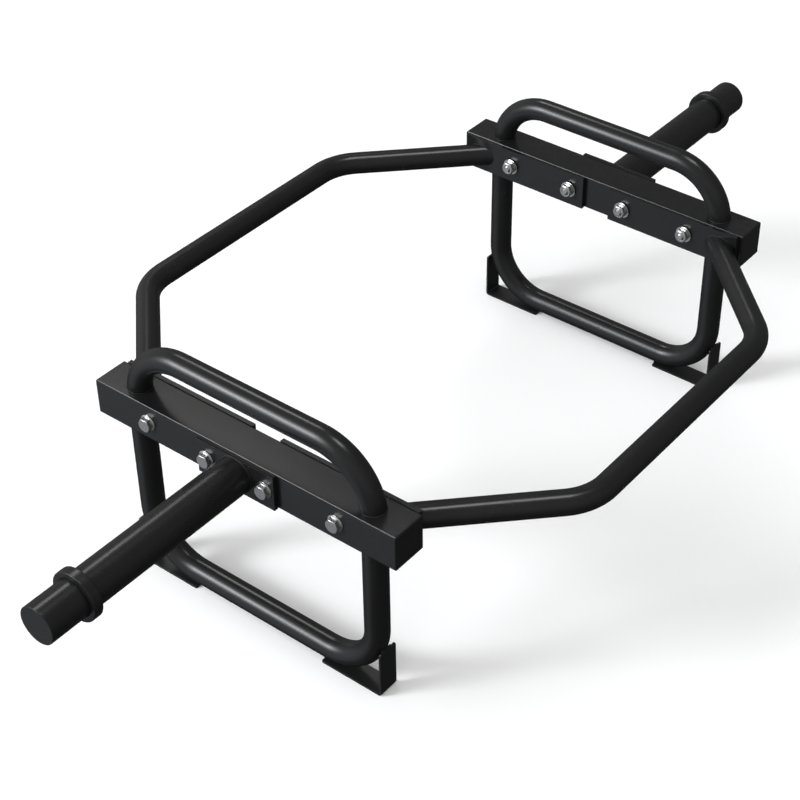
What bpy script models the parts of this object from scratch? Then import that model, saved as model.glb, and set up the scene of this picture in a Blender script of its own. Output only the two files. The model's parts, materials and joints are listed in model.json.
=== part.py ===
"""Trap bar: two side beams joined by two bolted ring halves that the lifter stands inside.

Metres, +Z up. The sleeves lie along X and the front is +Y. The origin is on the floor,
below the middle of the ring.
"""

import math

import bmesh
import bpy
from mathutils import Matrix, Vector

# Clearance left between two pieces that touch
GAP = 0.0003

# Distance below which two places are the same
SAME_PLACE = 1e-7

# Side beams, square tube
BEAM_SIZE = 0.050
BEAM_WALL = 0.003
BEAM_CORNER = 0.002
BEAM_SPREAD = 0.7578
BEAM_OVERHANG = 0.006
CAP_THICKNESS = 0.004

# Round tube of the handles, the stand loops and the ring
TUBE_DIAMETER = 0.0318
TUBE_WALL = 0.0025
BEND_RADIUS = 0.076

# Handles and stand loops
LEG_SPREAD = 0.369
HANDLE_HEIGHT = 0.0655
LOOP_DEPTH = 0.2163

# Feet, flat bar bent to an L
FOOT_WIDTH = 0.030
FOOT_THICKNESS = 0.003
FOOT_HEIGHT = 0.070
FOOT_REACH = 0.0033
FOOT_BEND = 0.002

# Ring halves
RING_SPAN = 0.7118
RING_ENTRY = 0.4048
RING_ANGLE = math.radians(45)

# Flat plates that the bolts clamp on the beams
SLEEVE_PLATE_THICKNESS = 0.006
SLEEVE_PLATE_MARGIN = 0.0027
RING_PLATE_THICKNESS = 0.006
RING_PLATE_MARGIN = 0.0117
RING_PLATE_RIM = 0.0041
PLATE_EDGE = 0.0008

# Weight sleeves, their end discs and the collars
SLEEVE_DIAMETER = 0.050
SLEEVE_WALL = 0.005
SLEEVE_LENGTH = 0.311
END_DISC_THICKNESS = 0.005
END_DISC_EDGE = 0.0008
COLLAR_WALL = 0.00745
COLLAR_WIDTH = 0.013
COLLAR_EDGE = 0.0025
COLLAR_SETBACK = 0.0605

# Bolts, with their holes, washers and nuts, and how far they keep from what they stand beside
BOLT_DIAMETER = 0.010
BOLT_CLEARANCE = 0.0005
BOLT_END = 0.002
HEX_SIZE = 0.0175
HEAD_HEIGHT = 0.0055
NUT_HEIGHT = 0.008
WASHER_DIAMETER = 0.0236
WASHER_THICKNESS = 0.002
WASHER_TO_SLEEVE = 0.0087
WASHER_TO_RING = 0.0205

# Fineness of the round shapes
TUBE_SIDES = 16
SLEEVE_SIDES = 32
BOLT_SIDES = 12
WASHER_SIDES = 16
CORNER_STEPS = 2
COLLAR_STEPS = 3
FOOT_STEPS = 4
BEND_STEP = math.radians(11.25)

TUBE_RADIUS = TUBE_DIAMETER / 2
BEAM_HALF = BEAM_SIZE / 2
SLEEVE_RADIUS = SLEEVE_DIAMETER / 2
WASHER_RADIUS = WASHER_DIAMETER / 2

# Heights
LOOP_BOTTOM = FOOT_THICKNESS + GAP + TUBE_RADIUS
BEAM_BOTTOM = LOOP_BOTTOM + LOOP_DEPTH
AXIS_HEIGHT = BEAM_BOTTOM + BEAM_HALF
BEAM_TOP = AXIS_HEIGHT + BEAM_HALF

# Distances from the middle plane, along X
BEAM_X = BEAM_SPREAD / 2
BEAM_OUTER_X = BEAM_X + BEAM_HALF
BEAM_INNER_X = BEAM_X - BEAM_HALF
SLEEVE_PLATE_FACE_X = BEAM_OUTER_X + GAP + SLEEVE_PLATE_THICKNESS
RING_PLATE_FACE_X = BEAM_INNER_X - GAP - RING_PLATE_THICKNESS
SLEEVE_START_X = SLEEVE_PLATE_FACE_X + GAP
SLEEVE_END_X = SLEEVE_START_X + SLEEVE_LENGTH

# Distances from the sleeves' axis, along Y
RING_END_HALF = TUBE_RADIUS / math.cos(RING_ANGLE)
INNER_BOLT_Y = SLEEVE_RADIUS + WASHER_TO_SLEEVE + WASHER_RADIUS
OUTER_BOLT_Y = RING_ENTRY / 2 - RING_END_HALF - WASHER_TO_RING - WASHER_RADIUS
SLEEVE_PLATE_END_Y = INNER_BOLT_Y + WASHER_RADIUS + SLEEVE_PLATE_MARGIN
RING_PLATE_START_Y = INNER_BOLT_Y - WASHER_RADIUS - RING_PLATE_MARGIN
RING_PLATE_END_Y = RING_ENTRY / 2 + RING_END_HALF + RING_PLATE_RIM
BEAM_END_Y = max(RING_PLATE_END_Y, LEG_SPREAD / 2 + TUBE_RADIUS) + BEAM_OVERHANG

X_AXIS = Vector((1, 0, 0))
Y_AXIS = Vector((0, 1, 0))
Z_AXIS = Vector((0, 0, 1))
SIDES = {"left": -1, "right": 1}
ENDS = {"front": 1, "rear": -1}


def clear_scene():
    for obj in list(bpy.data.objects):
        bpy.data.objects.remove(obj, do_unlink=True)


def make_material(name, colour, roughness, metallic):
    material = bpy.data.materials.new(name)
    material.use_nodes = True
    shader = material.node_tree.nodes["Principled BSDF"]
    shader.inputs["Base Color"].default_value = (*colour, 1)
    shader.inputs["Roughness"].default_value = roughness
    shader.inputs["Metallic"].default_value = metallic
    material.diffuse_color = (*colour, 1)
    return material


def finish(bm, name, material, origin, parent=None):
    """The object of a mesh built in world space, with its own origin and smooth round faces."""
    bmesh.ops.recalc_face_normals(bm, faces=bm.faces)
    bmesh.ops.translate(bm, verts=bm.verts, vec=-origin)
    mesh = bpy.data.meshes.new(name)
    bm.to_mesh(mesh)
    bm.free()
    mesh.shade_smooth()
    mesh.set_sharp_from_angle(angle=math.radians(35))
    if material:
        mesh.materials.append(material)
    obj = bpy.data.objects.new(name, mesh)
    bpy.context.scene.collection.objects.link(obj)
    obj.location = origin
    if parent:
        obj.parent = parent
        obj.location = origin - parent.location
    return obj


def circle(radius, sides):
    """Points of a circle, as (u, v) about its middle."""
    angles = [2 * math.pi * k / sides for k in range(sides)]
    return [(radius * math.cos(a), radius * math.sin(a)) for a in angles]


def hexagon(size, sides):
    """Points round a hexagon across flats of size, with a corner on the u axis."""
    points = []
    for k in range(sides):
        angle = 2 * math.pi * k / sides
        from_flat = (angle + math.pi / 6) % (math.pi / 3) - math.pi / 6
        radius = size / 2 / math.cos(math.pi / 6 - abs(from_flat))
        points.append((radius * math.cos(angle), radius * math.sin(angle)))
    return points


def rounded_rectangle(half_u, half_v, corner):
    """Points of a rectangle with round corners, as (u, v) about its middle."""
    points = []
    for quarter, (side_u, side_v) in enumerate(((1, 1), (-1, 1), (-1, -1), (1, -1))):
        for k in range(CORNER_STEPS + 1):
            angle = math.pi / 2 * (quarter + k / CORNER_STEPS)
            points.append((side_u * (half_u - corner) + corner * math.cos(angle),
                           side_v * (half_v - corner) + corner * math.sin(angle)))
    return points


def add_points(bm, place, u, v, points):
    return [bm.verts.new(place + p * u + q * v) for p, q in points]


def add_ring(bm, outer, inner):
    """Flat faces between two loops of as many vertices."""
    count = len(outer)
    return [bm.faces.new((outer[k], outer[(k + 1) % count], inner[(k + 1) % count], inner[k]))
            for k in range(count)]


def verts_of(faces):
    return list({vert for face in faces for vert in face.verts})


def region_of(faces):
    """The faces with their edges and vertices, so that what they leave behind goes when they are moved."""
    return faces + list({edge for face in faces for edge in face.edges}) + verts_of(faces)


def extrude(bm, faces, along):
    """Extrudes flat faces by the vector along and returns the faces at its end."""
    made = bmesh.ops.extrude_face_region(bm, geom=region_of(faces))["geom"]
    ends = [item for item in made if isinstance(item, bmesh.types.BMFace)]
    bmesh.ops.translate(bm, verts=verts_of(ends), vec=along)
    return ends


def bend(bm, faces, centre, axis, angle):
    """Spins flat faces about a bend's centre and returns the faces at its end."""
    steps = max(1, round(angle / BEND_STEP))
    made = bmesh.ops.spin(bm, geom=region_of(faces), cent=centre, axis=axis, angle=angle, steps=steps)
    return [item for item in made["geom_last"] if isinstance(item, bmesh.types.BMFace)]


def slide_to_plane(verts, direction, plane_point, plane_normal):
    """Moves the end of a tube along it until it lies in a plane, as an oblique saw cut leaves it."""
    for vert in verts:
        vert.co += direction * ((plane_point - vert.co).dot(plane_normal) / direction.dot(plane_normal))


def make_tube(name, material, start, heading, bend_axis, moves, end_normal):
    """A hollow round tube along its runs and bends, with both ends cut square to end_normal."""
    bm = bmesh.new()
    side = heading.cross(bend_axis)
    outer = add_points(bm, start, bend_axis, side, circle(TUBE_RADIUS, TUBE_SIDES))
    inner = add_points(bm, start, bend_axis, side, circle(TUBE_RADIUS - TUBE_WALL, TUBE_SIDES))
    faces = add_ring(bm, outer, inner)
    place, direction = start, heading
    for kind, amount in moves:
        if kind == "run" and amount > 0:
            faces = extrude(bm, faces, direction * amount)
            place = place + direction * amount
        elif kind == "bend":
            centre = place + BEND_RADIUS * bend_axis.cross(direction)
            faces = bend(bm, faces, centre, bend_axis, amount)
            turn = Matrix.Rotation(amount, 3, bend_axis)
            place = centre + turn @ (place - centre)
            direction = turn @ direction
    slide_to_plane(outer + inner, heading, start, end_normal)
    slide_to_plane(verts_of(faces), direction, place, end_normal)
    finish(bm, name, material, start)


def make_revolved(name, material, profile, place, parent=None, sides=SLEEVE_SIDES):
    """A solid turned about the line along X through place, from a closed outline of (x, radius) points."""
    bm = bmesh.new()
    verts = [bm.verts.new((x, 0, radius)) for x, radius in profile]
    edges = [bm.edges.new((a, b)) for a, b in zip(verts, verts[1:] + verts[:1])]
    bmesh.ops.spin(bm, geom=verts + edges, cent=(0, 0, 0), axis=X_AXIS, angle=2 * math.pi,
                   steps=sides, use_merge=True)
    on_axis = [vert for vert in bm.verts if vert.co.yz.length < SAME_PLACE]
    bmesh.ops.remove_doubles(bm, verts=on_axis, dist=SAME_PLACE)
    loose = [edge for edge in bm.edges if not edge.link_faces]
    bmesh.ops.delete(bm, geom=loose, context="EDGES")
    bmesh.ops.translate(bm, verts=bm.verts, vec=place)
    finish(bm, name, material, place, parent)


def make_prism(name, material, place, u, v, outline, along, edge=0):
    """An outline in the plane of u and v, extruded by the vector along, with its rims bevelled by edge."""
    bm = bmesh.new()
    extrude(bm, [bm.faces.new(add_points(bm, place, u, v, outline))], along)
    if edge:
        rims = [item for item in bm.edges
                if abs((item.verts[0].co - item.verts[1].co).dot(along.normalized())) < SAME_PLACE]
        bmesh.ops.bevel(bm, geom=rims, offset=edge, segments=1, affect="EDGES")
    return finish(bm, name, material, place + along / 2)


def bolt_places():
    """Y of a side's four bolts, front to rear."""
    return (OUTER_BOLT_Y, INNER_BOLT_Y, -INNER_BOLT_Y, -OUTER_BOLT_Y)


def make_drill(side_name, side):
    """Cutter of one side's bolt holes, through both plates and the beam."""
    bm = bmesh.new()
    middle = Vector((side * BEAM_X, 0, AXIS_HEIGHT))
    length = BEAM_SIZE + 2 * (SLEEVE_PLATE_THICKNESS + RING_PLATE_THICKNESS)
    for y in bolt_places():
        place = middle + Vector((-length / 2, y, 0))
        outline = circle(BOLT_DIAMETER / 2 + BOLT_CLEARANCE, BOLT_SIDES)
        hole = add_points(bm, place, Z_AXIS, Y_AXIS, outline)
        extrude(bm, [bm.faces.new(hole)], X_AXIS * length)
    cutter = finish(bm, side_name + "_drill", None, middle)
    cutter.hide_render = True
    cutter.display_type = "WIRE"
    return cutter


def drill(obj, cutter):
    holes = obj.modifiers.new("bolt holes", "BOOLEAN")
    holes.operation = "DIFFERENCE"
    holes.solver = "EXACT"
    holes.object = cutter


def make_beam(side_name, side, paint, cutter):
    """Square tube along Y, closed by a welded cap at each end."""
    bm = bmesh.new()
    middle = Vector((side * BEAM_X, 0, AXIS_HEIGHT))
    outline = rounded_rectangle(BEAM_HALF, BEAM_HALF, BEAM_CORNER)
    bore_half = BEAM_HALF - BEAM_WALL
    half_length = BEAM_END_Y - CAP_THICKNESS - GAP
    rear = middle - Y_AXIS * half_length
    outer = add_points(bm, rear, X_AXIS, Z_AXIS, outline)
    bore = add_points(bm, rear, X_AXIS, Z_AXIS, rounded_rectangle(bore_half, bore_half, BEAM_CORNER / 2))
    extrude(bm, add_ring(bm, outer, bore), Y_AXIS * 2 * half_length)
    drill(finish(bm, side_name + "_side_beam", paint, middle), cutter)
    for end_name, end in ENDS.items():
        place = middle + Y_AXIS * end * (BEAM_END_Y - CAP_THICKNESS)
        make_prism(f"{side_name}_{end_name}_beam_cap", paint, place, X_AXIS, Z_AXIS, outline,
                   Y_AXIS * end * CAP_THICKNESS)


def u_moves(leg, turn):
    """The runs and bends of a U whose legs are LEG_SPREAD apart."""
    across = LEG_SPREAD - 2 * BEND_RADIUS
    return [("run", leg), ("bend", turn), ("run", across), ("bend", turn), ("run", leg)]


def make_handle(side_name, side, paint):
    """Inverted U on the beam. It leans inward from its start where the bends reach below the beam's top."""
    rise = HANDLE_HEIGHT - GAP
    leg = max(0, rise - BEND_RADIUS)
    lean = math.asin(max(0, 1 - rise / BEND_RADIUS))
    start = Vector((side * BEAM_X, LEG_SPREAD / 2 - BEND_RADIUS * (1 - math.cos(lean)), BEAM_TOP + GAP))
    heading = Vector((0, -math.sin(lean), math.cos(lean)))
    moves = u_moves(leg, math.pi / 2 - lean)
    make_tube(side_name + "_top_handle", paint, start, heading, X_AXIS, moves, Z_AXIS)


def make_stand_loop(side_name, side, paint):
    """U under the beam, with its bottom run on the feet."""
    start = Vector((side * BEAM_X, LEG_SPREAD / 2, BEAM_BOTTOM - GAP))
    moves = u_moves(LOOP_DEPTH - GAP - BEND_RADIUS, math.pi / 2)
    make_tube(side_name + "_stand_loop", paint, start, -Z_AXIS, -X_AXIS, moves, Z_AXIS)


def loop_outside_y(height):
    """How far out a stand loop's outer side is at a height, on its lower bend or on the leg above."""
    below_bend = max(0, LOOP_BOTTOM + BEND_RADIUS - height)
    bend_middle_y = LEG_SPREAD / 2 - BEND_RADIUS
    return bend_middle_y + math.sqrt((BEND_RADIUS + TUBE_RADIUS) ** 2 - below_bend ** 2)


def make_foot(name, side, end, paint):
    """L round a lower bend: one leg lies under the loop's bottom run, the other leans its top on the bend."""
    inner_y = loop_outside_y(FOOT_HEIGHT) + GAP
    outer_y = inner_y + FOOT_THICKNESS
    tip_y = LEG_SPREAD / 2 - BEND_RADIUS - FOOT_REACH
    bend_y = inner_y - FOOT_BEND
    bend_z = FOOT_THICKNESS + FOOT_BEND
    angles = [math.pi / 2 * k / FOOT_STEPS for k in range(FOOT_STEPS + 1)]
    outer_bend = [(bend_y + (FOOT_BEND + FOOT_THICKNESS) * math.sin(a),
                   bend_z - (FOOT_BEND + FOOT_THICKNESS) * math.cos(a)) for a in angles]
    inner_bend = [(bend_y + FOOT_BEND * math.sin(a), bend_z - FOOT_BEND * math.cos(a)) for a in angles]
    outline = [(tip_y, FOOT_THICKNESS), (tip_y, 0)] + outer_bend
    outline += [(outer_y, FOOT_HEIGHT), (inner_y, FOOT_HEIGHT)] + inner_bend[::-1]
    place = Vector((side * BEAM_X - FOOT_WIDTH / 2, 0, 0))
    make_prism(name, paint, place, end * Y_AXIS, Z_AXIS, outline, X_AXIS * FOOT_WIDTH)


def make_ring_half(end_name, end, paint):
    """Tube in front of or behind the lifter: a straight run between two diagonals that end on the plates."""
    start = Vector((GAP - RING_PLATE_FACE_X, end * RING_ENTRY / 2, AXIS_HEIGHT))
    outward = (RING_SPAN - RING_ENTRY) / 2
    setback = BEND_RADIUS * math.tan(RING_ANGLE / 2)
    diagonal = outward / math.sin(RING_ANGLE) - setback
    run = 2 * (-start.x - outward / math.tan(RING_ANGLE) - setback)
    heading = Vector((math.cos(RING_ANGLE), end * math.sin(RING_ANGLE), 0))
    moves = [("run", diagonal), ("bend", RING_ANGLE), ("run", run)]
    moves += [("bend", RING_ANGLE), ("run", diagonal)]
    make_tube(end_name + "_ring_half", paint, start, heading, -end * Z_AXIS, moves, X_AXIS)


def make_plate(name, x, thickness, start_y, end_y, paint, cutter):
    """Flat plate as high as the beam, from its face at x, thickness thick away from the beam."""
    place = Vector((x, (start_y + end_y) / 2, AXIS_HEIGHT))
    outline = rounded_rectangle(abs(end_y - start_y) / 2, BEAM_HALF, BEAM_CORNER)
    drill(make_prism(name, paint, place, Y_AXIS, Z_AXIS, outline, X_AXIS * thickness, PLATE_EDGE), cutter)


def make_plates(side_name, side, paint, cutter):
    """The sleeve's plate outside the beam, and a ring half's plate inside it at each end."""
    make_plate(side_name + "_sleeve_plate", side * (BEAM_OUTER_X + GAP), side * SLEEVE_PLATE_THICKNESS,
               -SLEEVE_PLATE_END_Y, SLEEVE_PLATE_END_Y, paint, cutter)
    for end_name, end in ENDS.items():
        make_plate(f"{side_name}_{end_name}_ring_plate", side * (BEAM_INNER_X - GAP),
                   -side * RING_PLATE_THICKNESS, end * RING_PLATE_START_Y, end * RING_PLATE_END_Y,
                   paint, cutter)


def make_sleeve(side_name, side, paint, disc_paint):
    """Weight sleeve, a thick tube welded on its plate, and the disc that closes its outer end."""
    length = side * (SLEEVE_LENGTH - END_DISC_THICKNESS - GAP)
    bore = SLEEVE_RADIUS - SLEEVE_WALL
    tube = [(0, SLEEVE_RADIUS), (length, SLEEVE_RADIUS), (length, bore), (0, bore)]
    make_revolved(side_name + "_sleeve", paint, tube, Vector((side * SLEEVE_START_X, 0, AXIS_HEIGHT)))
    back = -side * END_DISC_THICKNESS
    edge = -side * END_DISC_EDGE
    disc = [(back, 0), (back, SLEEVE_RADIUS), (edge, SLEEVE_RADIUS)]
    disc += [(0, SLEEVE_RADIUS - END_DISC_EDGE), (0, 0)]
    make_revolved(side_name + "_sleeve_end_disc", disc_paint, disc,
                  Vector((side * SLEEVE_END_X, 0, AXIS_HEIGHT)))


def make_collar(side_name, side, paint):
    """Round-edged ring that slides along the sleeve, under an empty on the sleeve's axis."""
    place = Vector((side * (SLEEVE_END_X - COLLAR_SETBACK), 0, AXIS_HEIGHT))
    slide = bpy.data.objects.new(side_name + "_collar_slide", None)
    slide.location = place
    bpy.context.scene.collection.objects.link(slide)
    inner = SLEEVE_RADIUS + GAP
    outer = inner + COLLAR_WALL
    half = COLLAR_WIDTH / 2
    angles = [math.pi / 2 * k / COLLAR_STEPS for k in range(COLLAR_STEPS + 1)]
    right_edge = [(half - COLLAR_EDGE * (1 - math.sin(a)), outer - COLLAR_EDGE * (1 - math.cos(a)))
                  for a in angles]
    left_edge = [(-x, radius) for x, radius in right_edge[::-1]]
    profile = [(-half, inner)] + left_edge + right_edge + [(half, inner)]
    make_revolved(side_name + "_collar", paint, profile, place, slide)


def make_washer(name, x, y, zinc):
    """Flat washer on a bolt, centred on x."""
    half = WASHER_THICKNESS / 2
    bore = BOLT_DIAMETER / 2 + GAP
    profile = [(-half, WASHER_RADIUS), (half, WASHER_RADIUS), (half, bore), (-half, bore)]
    make_revolved(name, zinc, profile, Vector((x, y, AXIS_HEIGHT)), sides=WASHER_SIDES)


def make_bolt(name, side, head_x, end_x, y, zinc):
    """Hexagon bolt along X, its head starting at head_x and its shank ending at end_x."""
    bm = bmesh.new()
    place = Vector((side * head_x, y, AXIS_HEIGHT))
    hexagon_points = add_points(bm, place, Z_AXIS, Y_AXIS, hexagon(HEX_SIZE, BOLT_SIDES))
    shank_points = add_points(bm, place, Z_AXIS, Y_AXIS, circle(BOLT_DIAMETER / 2, BOLT_SIDES))
    under_head = add_ring(bm, hexagon_points, shank_points)
    shank = bm.faces.new(shank_points)
    extrude(bm, under_head + [shank], X_AXIS * side * HEAD_HEIGHT)
    extrude(bm, [shank], X_AXIS * side * (end_x - head_x))
    finish(bm, name, zinc, place)


def make_nut(name, side, seat_x, y, zinc):
    """Hexagon nut on the inner end of a bolt, its seat at seat_x."""
    bm = bmesh.new()
    place = Vector((side * seat_x, y, AXIS_HEIGHT))
    outer = add_points(bm, place, Z_AXIS, Y_AXIS, hexagon(HEX_SIZE, BOLT_SIDES))
    bore = add_points(bm, place, Z_AXIS, Y_AXIS, circle(BOLT_DIAMETER / 2 + GAP, BOLT_SIDES))
    extrude(bm, add_ring(bm, outer, bore), -X_AXIS * side * NUT_HEIGHT)
    finish(bm, name, zinc, place)


def make_fasteners(side_name, side, zinc):
    """Four bolts a side, of which the inner two also clamp the sleeve plate."""
    for number, y in enumerate(bolt_places(), 1):
        outer_face = SLEEVE_PLATE_FACE_X if abs(y) < SLEEVE_PLATE_END_Y else BEAM_OUTER_X
        head_washer_x = outer_face + GAP + WASHER_THICKNESS / 2
        nut_washer_x = RING_PLATE_FACE_X - GAP - WASHER_THICKNESS / 2
        head_x = head_washer_x + WASHER_THICKNESS / 2 + GAP
        seat_x = nut_washer_x - WASHER_THICKNESS / 2 - GAP
        make_washer(f"{side_name}_head_washer_{number}", side * head_washer_x, y, zinc)
        make_washer(f"{side_name}_nut_washer_{number}", side * nut_washer_x, y, zinc)
        make_bolt(f"{side_name}_bolt_{number}", side, head_x, seat_x - NUT_HEIGHT - BOLT_END, y, zinc)
        make_nut(f"{side_name}_nut_{number}", side, seat_x, y, zinc)


def build():
    clear_scene()
    paint = make_material("black gloss paint", (0.030, 0.031, 0.033), 0.35, 0.0)
    end_paint = make_material("black end paint", (0.028, 0.028, 0.030), 0.45, 0.0)
    collar_paint = make_material("black collar paint", (0.026, 0.026, 0.028), 0.42, 0.0)
    zinc = make_material("bright zinc", (0.72, 0.73, 0.74), 0.22, 1.0)
    for side_name, side in SIDES.items():
        cutter = make_drill(side_name, side)
        make_beam(side_name, side, paint, cutter)
        make_plates(side_name, side, paint, cutter)
        make_handle(side_name, side, paint)
        make_stand_loop(side_name, side, paint)
        make_sleeve(side_name, side, paint, end_paint)
        make_collar(side_name, side, collar_paint)
        make_fasteners(side_name, side, zinc)
        for end_name, end in ENDS.items():
            make_foot(f"{side_name}_{end_name}_foot", side, end, paint)
    for end_name, end in ENDS.items():
        make_ring_half(end_name, end, paint)


build()
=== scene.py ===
import json
import math

import bmesh
import bpy
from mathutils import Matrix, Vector

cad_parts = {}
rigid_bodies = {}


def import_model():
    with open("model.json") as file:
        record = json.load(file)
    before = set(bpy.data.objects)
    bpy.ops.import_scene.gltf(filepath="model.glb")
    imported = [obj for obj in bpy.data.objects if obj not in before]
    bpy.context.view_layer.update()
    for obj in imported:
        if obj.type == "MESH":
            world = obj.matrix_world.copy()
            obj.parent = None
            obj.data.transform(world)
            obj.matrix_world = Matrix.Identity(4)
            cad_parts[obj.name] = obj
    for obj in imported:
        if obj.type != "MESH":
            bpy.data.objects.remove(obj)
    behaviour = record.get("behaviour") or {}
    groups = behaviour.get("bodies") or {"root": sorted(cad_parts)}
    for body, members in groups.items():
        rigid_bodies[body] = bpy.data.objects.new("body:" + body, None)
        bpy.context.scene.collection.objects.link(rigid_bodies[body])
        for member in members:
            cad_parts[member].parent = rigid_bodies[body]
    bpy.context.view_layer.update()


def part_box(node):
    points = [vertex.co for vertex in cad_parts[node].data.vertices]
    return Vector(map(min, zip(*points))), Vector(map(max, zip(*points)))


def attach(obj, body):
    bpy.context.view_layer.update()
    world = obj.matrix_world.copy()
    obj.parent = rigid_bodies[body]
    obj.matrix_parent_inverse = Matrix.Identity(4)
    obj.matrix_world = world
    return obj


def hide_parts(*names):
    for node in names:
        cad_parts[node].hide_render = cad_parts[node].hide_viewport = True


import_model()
scene = bpy.context.scene

# Camera, standing outside the left side and looking down over the left sleeve to the far side.
# Its place, turn and lens come from a fit to the photograph, and the small shifts put the
# object where the photograph has it in a square frame.
CAMERA_PLACE = (-1.56796, -1.18672, 1.67280)
CAMERA_TURN = (0.91982, 0.000256, -0.915433)
CAMERA_LENS = 83.26
CAMERA_SENSOR = 36.0
CAMERA_SHIFT = (-0.04523, -0.04514)
CAMERA_NEAR = 0.01
CAMERA_FAR = 60

camera_data = bpy.data.cameras.new("camera")
camera_data.sensor_width = CAMERA_SENSOR
camera_data.lens = CAMERA_LENS
camera_data.shift_x, camera_data.shift_y = CAMERA_SHIFT
camera_data.clip_start = CAMERA_NEAR
camera_data.clip_end = CAMERA_FAR
camera = bpy.data.objects.new("camera", camera_data)
camera.location = CAMERA_PLACE
camera.rotation_euler = CAMERA_TURN
scene.collection.objects.link(camera)
scene.camera = camera

# Side beams: square steel tube, 50 mm with a 3 mm wall and small rolled corners, one on each
# side of the lifter. Each is drilled through both side walls for four bolts. All the steel but
# the fasteners is enamelled satin black once it is welded up.
BEAM_WALL = 0.003
BEAM_CORNER = 0.0022
BEAM_CORNER_STEPS = 6
BOLT_HOLE = 0.011
DRILL_SIDES = 32
DRILL_SPARE = 0.02
CREASE = math.radians(32)
ENAMEL_TONE = (0.0076, 0.0078, 0.0081, 1)
ENAMEL_FILM = (0.0125, 0.0125, 0.0123, 1)
ENAMEL_IOR = 1.5
PATCH_SPAN = (0.35, 0.75)
STREAK_SPAN = (0.3, 0.8)
SIDES = {"left": -1, "right": 1}
BOLTS = (1, 2, 3, 4)

# The Mix node's sockets share their names, so they go by number: the two inputs and the output.
MIX_SOCKETS = {"FLOAT": (2, 3, 0), "RGBA": (6, 7, 2)}


def put(tree, kind, inputs=None, **settings):
    """Adds a node; an input that is given another node's socket is wired to it."""
    node = tree.nodes.new(kind)
    for key, value in settings.items():
        setattr(node, key, value)
    for key, value in (inputs or {}).items():
        if isinstance(value, bpy.types.NodeSocket):
            tree.links.new(value, node.inputs[key])
        else:
            node.inputs[key].default_value = value
    return node


def reckon(tree, operation, *values):
    """The result of a Math node on up to three values."""
    return put(tree, "ShaderNodeMath", dict(enumerate(values)), operation=operation).outputs[0]


def spread(tree, value, span, wanted, curve="LINEAR"):
    """A value that runs over one span, stretched over the wanted one and kept inside it."""
    ends = {"From Min": span[0], "From Max": span[1], "To Min": wanted[0], "To Max": wanted[1]}
    node = put(tree, "ShaderNodeMapRange", {"Value": value, **ends}, interpolation_type=curve)
    return node.outputs["Result"]


def mix(tree, kind, share, one, two):
    """One value or colour blended into another by a share."""
    first, second, result = MIX_SOCKETS[kind]
    node = put(tree, "ShaderNodeMix", {0: share, first: one, second: two}, data_type=kind)
    return node.outputs[result]


def noise(tree, place, size, detail):
    """Cloudy noise from 0 to 1, with clouds of about the given size in metres."""
    scale = reckon(tree, "DIVIDE", 1.0, size)
    node = put(tree, "ShaderNodeTexNoise", {"Vector": place, "Scale": scale, "Detail": detail})
    return node.outputs["Fac"]


def open_group(name, kind, inputs, outputs):
    """Starts a node group and returns it with the sockets that it is given and that it fills."""
    group = bpy.data.node_groups.new(name, kind)
    for label, socket_kind, value in inputs:
        socket = group.interface.new_socket(
            name=label, in_out="INPUT", socket_type="NodeSocket" + socket_kind
        )
        if value is not None:
            socket.default_value = value
    for label, socket_kind in outputs:
        group.interface.new_socket(
            name=label, in_out="OUTPUT", socket_type="NodeSocket" + socket_kind
        )
    given = group.nodes.new("NodeGroupInput")
    result = group.nodes.new("NodeGroupOutput")
    return group, given.outputs, result.inputs


def enamel_skin_group():
    """Height in metres of the orange peel of sprayed enamel, with fine grit caught in it."""
    group, given, result = open_group(
        "enamel_skin",
        "ShaderNodeTree",
        [
            ("Coordinates", "Vector", None),
            ("Peel Size", "Float", 0.003),
            ("Peel Height", "Float", 0.000004),
            ("Grit Size", "Float", 0.0005),
            ("Grit Height", "Float", 0.000001),
        ],
        [("Height", "Float")],
    )
    peel = noise(group, given["Coordinates"], given["Peel Size"], detail=1.0)
    grit = noise(group, given["Coordinates"], given["Grit Size"], detail=2.0)
    high_peel = reckon(group, "MULTIPLY", peel, given["Peel Height"])
    high_grit = reckon(group, "MULTIPLY", grit, given["Grit Height"])
    group.links.new(reckon(group, "ADD", high_peel, high_grit), result["Height"])
    return group


def handling_film_group():
    """Mask of the faint uneven film that hands, packing and dust leave on a dark coat."""
    group, given, result = open_group(
        "handling_film",
        "ShaderNodeTree",
        [
            ("Coordinates", "Vector", None),
            ("Patch Size", "Float", 0.06),
            ("Streak Size", "Float", 0.008),
            ("Cover", "Float", 0.5),
        ],
        [("Mask", "Float")],
    )
    masks = []
    for size, span in (("Patch Size", PATCH_SPAN), ("Streak Size", STREAK_SPAN)):
        clouds = noise(group, given["Coordinates"], given[size], detail=3.0)
        masks.append(spread(group, clouds, span, (0.0, 1.0)))
    mixed = reckon(group, "MULTIPLY", *masks)
    group.links.new(reckon(group, "MULTIPLY", mixed, given["Cover"]), result["Mask"])
    return group


ENAMEL_SKIN = enamel_skin_group()
HANDLING_FILM = handling_film_group()


def open_material(name):
    """Starts a material and returns it with its tree and the socket of object coordinates."""
    material = bpy.data.materials.new(name)
    material.use_nodes = True
    place = put(material.node_tree, "ShaderNodeTexCoord")
    return material, material.node_tree, place.outputs["Object"]


def coat(tree, mask, height, tones, roughness):
    """Blends two tones and two roughnesses by a mask and raises the surface by a height."""
    shader = tree.nodes["Principled BSDF"]
    colour = mix(tree, "RGBA", mask, *tones)
    gloss = spread(tree, mask, (0.0, 1.0), roughness)
    bump = put(tree, "ShaderNodeBump", {"Strength": 1.0, "Distance": 1.0, "Height": height})
    tree.links.new(colour, shader.inputs["Base Color"])
    tree.links.new(gloss, shader.inputs["Roughness"])
    tree.links.new(bump.outputs["Normal"], shader.inputs["Normal"])
    return shader


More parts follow.
